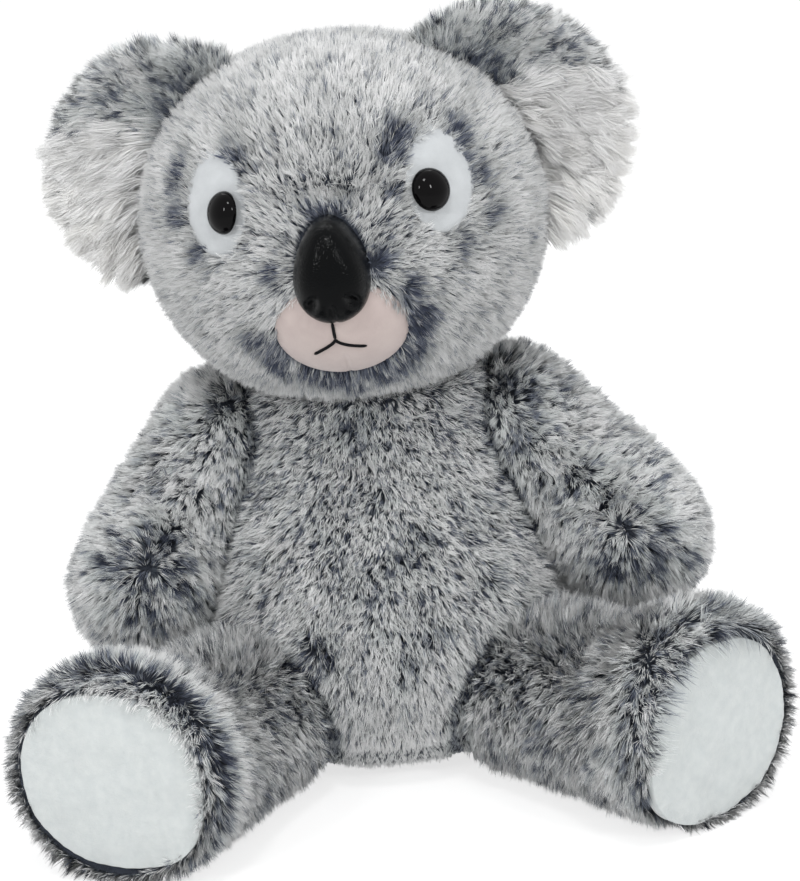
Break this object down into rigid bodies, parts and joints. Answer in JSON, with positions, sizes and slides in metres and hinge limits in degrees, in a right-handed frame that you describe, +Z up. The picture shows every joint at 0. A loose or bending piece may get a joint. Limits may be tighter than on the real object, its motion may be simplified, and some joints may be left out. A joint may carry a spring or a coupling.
{
  "type": "seated plush koala",
  "caption": "Seated soft toy koala with cupped fluffy ears, hard domed eyes and nose, a velour muzzle and flat velour soles; head, ears, arms and legs move.",
  "frame": {"origin": "on the ground under the middle of the body's seat", "axes": "+Z up from the ground to the crown, -Y the way the koala looks, +X its own left side"},
  "size_m": [0.2167, 0.1538, 0.219],
  "materials": {
    "grey_plush": "long pile plush",
    "white_plush": "long pile plush",
    "felt": "pressed felt",
    "velour": "short velour",
    "sole_velour": "short velour",
    "hard_black": "gloss",
    "thread": "twisted thread",
    "washer": "matte",
    "fibre": "loose fibre"
  },
  "bodies": {
    "torso": {"body_skin": "grey_plush", "body_filling": "fibre"},
    "head": {"head_skin": "grey_plush", "head_filling": "fibre", "muzzle_patch": "velour", "nose": "hard_black", "nose_washer": "washer", "mouth_stitching": "thread", "left_eye": "hard_black", "left_eye_patch": "felt", "left_eye_washer": "washer", "right_eye": "hard_black", "right_eye_patch": "felt", "right_eye_washer": "washer"},
    "left_ear": {"left_ear_back": "grey_plush", "left_ear_front": "white_plush"},
    "left_arm": {"left_arm_skin": "grey_plush", "left_arm_filling": "fibre"},
    "left_leg": {"left_leg_skin": "grey_plush", "left_leg_filling": "fibre", "left_sole_pad": "sole_velour"},
    "right_ear": {"right_ear_back": "grey_plush", "right_ear_front": "white_plush"},
    "right_arm": {"right_arm_skin": "grey_plush", "right_arm_filling": "fibre"},
    "right_leg": {"right_leg_skin": "grey_plush", "right_leg_filling": "fibre", "right_sole_pad": "sole_velour"}
  },
  "joints": [
    {"name": "head_turn", "type": "hinge", "parent": "torso", "child": "head", "pos_m": [0, -0.006, 0.111], "axis": [0, 0, 1], "range_deg": [-30, 30], "stiffness_Nm_per_rad": 0.05},
    {"name": "left_arm_lift", "type": "hinge", "parent": "torso", "child": "left_arm", "pos_m": [0.0425, -0.004, 0.098], "axis": [0, -1, 0], "range_deg": [0, 60]},
    {"name": "right_arm_lift", "type": "hinge", "parent": "torso", "child": "right_arm", "pos_m": [-0.0425, -0.004, 0.098], "axis": [0, 1, 0], "range_deg": [0, 60]},
    {"name": "left_leg_spread", "type": "hinge", "parent": "torso", "child": "left_leg", "pos_m": [0.032, -0.023, 0.0244], "axis": [0, 0, 1], "range_deg": [-8, 5], "stiffness_Nm_per_rad": 0.03},
    {"name": "right_leg_spread", "type": "hinge", "parent": "torso", "child": "right_leg", "pos_m": [-0.032, -0.023, 0.0244], "axis": [0, 0, -1], "range_deg": [-8, 5], "stiffness_Nm_per_rad": 0.03},
    {"name": "left_ear_bend", "type": "hinge", "parent": "head", "child": "left_ear", "pos_m": [0.03713, -0.00158, 0.18402], "axis": [-0.4216, 0.0295, 0.9063], "range_deg": [-20, 20], "stiffness_Nm_per_rad": 0.01},
    {"name": "right_ear_bend", "type": "hinge", "parent": "head", "child": "right_ear", "pos_m": [-0.04356, 0.00406, 0.17978], "axis": [-0.3248, 0.0227, -0.9455], "range_deg": [-20, 20], "stiffness_Nm_per_rad": 0.01}
  ]
}
